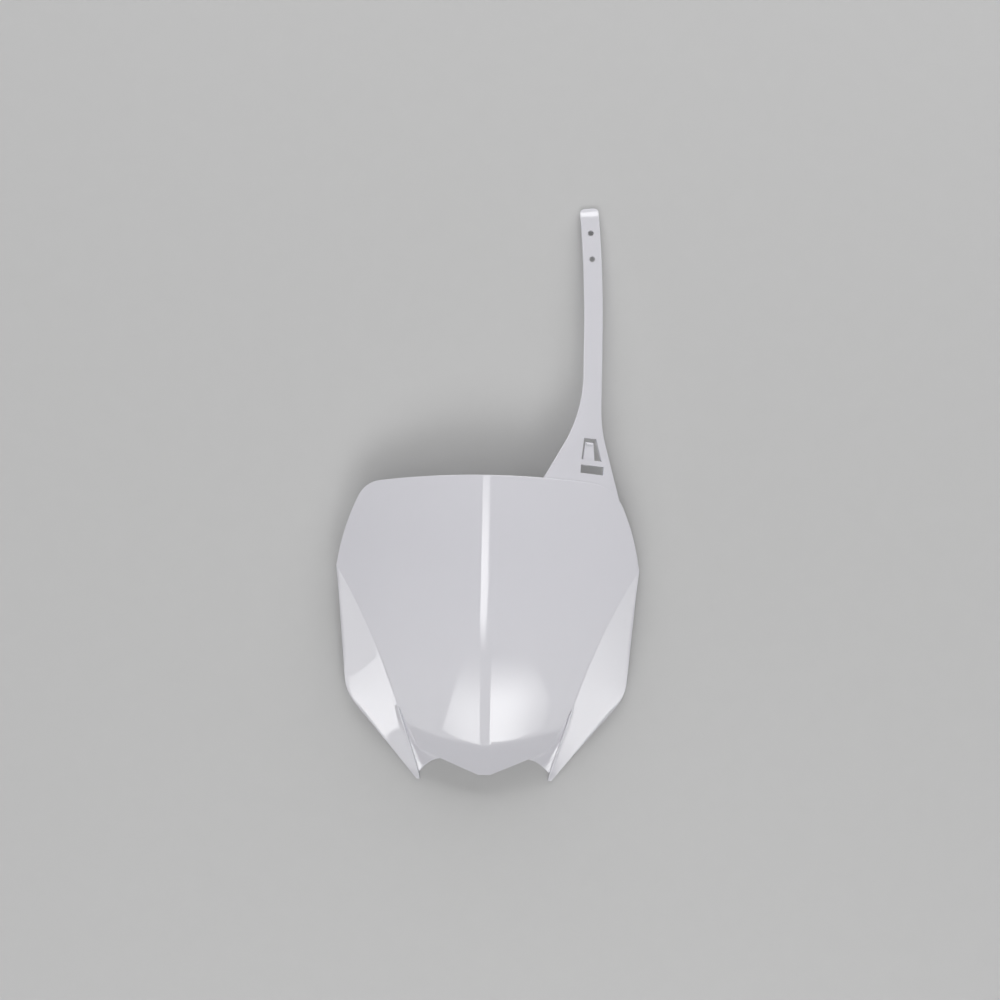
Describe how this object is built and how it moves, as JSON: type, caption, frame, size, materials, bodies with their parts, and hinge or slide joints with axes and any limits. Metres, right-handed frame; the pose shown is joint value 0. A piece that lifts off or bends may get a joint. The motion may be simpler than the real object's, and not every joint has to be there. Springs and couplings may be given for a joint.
{
  "type": "racing number board",
  "caption": "One-piece front number board with a V-shaped nose, folded side wings and a long fastening strap.",
  "frame": {"origin": "middle of the box round the board in X and Y, on the plane it rests on", "axes": "+X to the board's right side seen from the front, +Y up the board along its strap, +Z out of its face"},
  "size_m": [0.232, 0.4432, 0.0532],
  "materials": {
    "white_moulding": "smooth gloss, as moulded"
  },
  "bodies": {
    "root": {"number_board": "white_moulding"}
  },
  "joints": []
}
